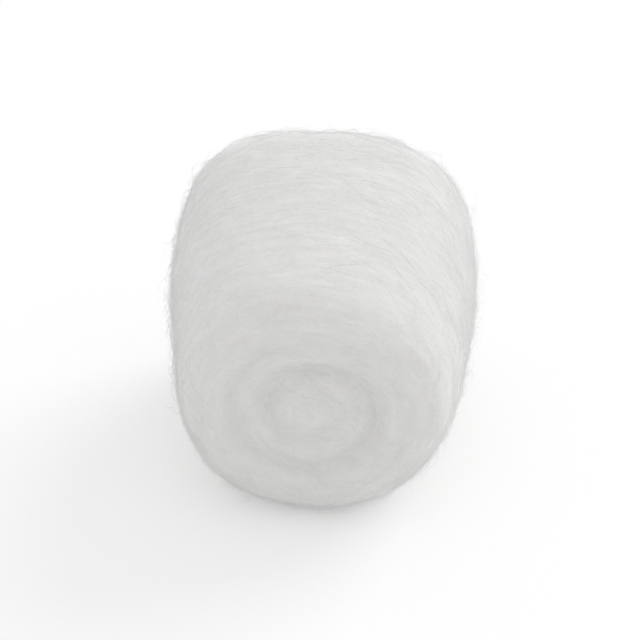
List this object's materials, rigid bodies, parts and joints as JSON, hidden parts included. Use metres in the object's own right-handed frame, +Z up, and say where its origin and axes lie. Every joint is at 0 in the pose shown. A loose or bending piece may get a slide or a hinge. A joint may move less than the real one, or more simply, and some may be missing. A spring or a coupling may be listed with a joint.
{
  "type": "cotton ball",
  "caption": "Soft white cotton ball: a short, slightly tapered drum-shaped roll of loose cotton with rounded shoulders and dimpled, whorled ends.",
  "frame": {"origin": "middle of the small flat spot that the ball lies on, under the middle of its box", "axes": "+Z up, +Y along the roll's axis from the front end to the back end, +X across the roll"},
  "size_m": [0.0286, 0.0284, 0.0273],
  "materials": {
    "cotton": "matte, soft and fibrous"
  },
  "bodies": {
    "root": {"cotton_ball": "cotton"}
  },
  "joints": []
}
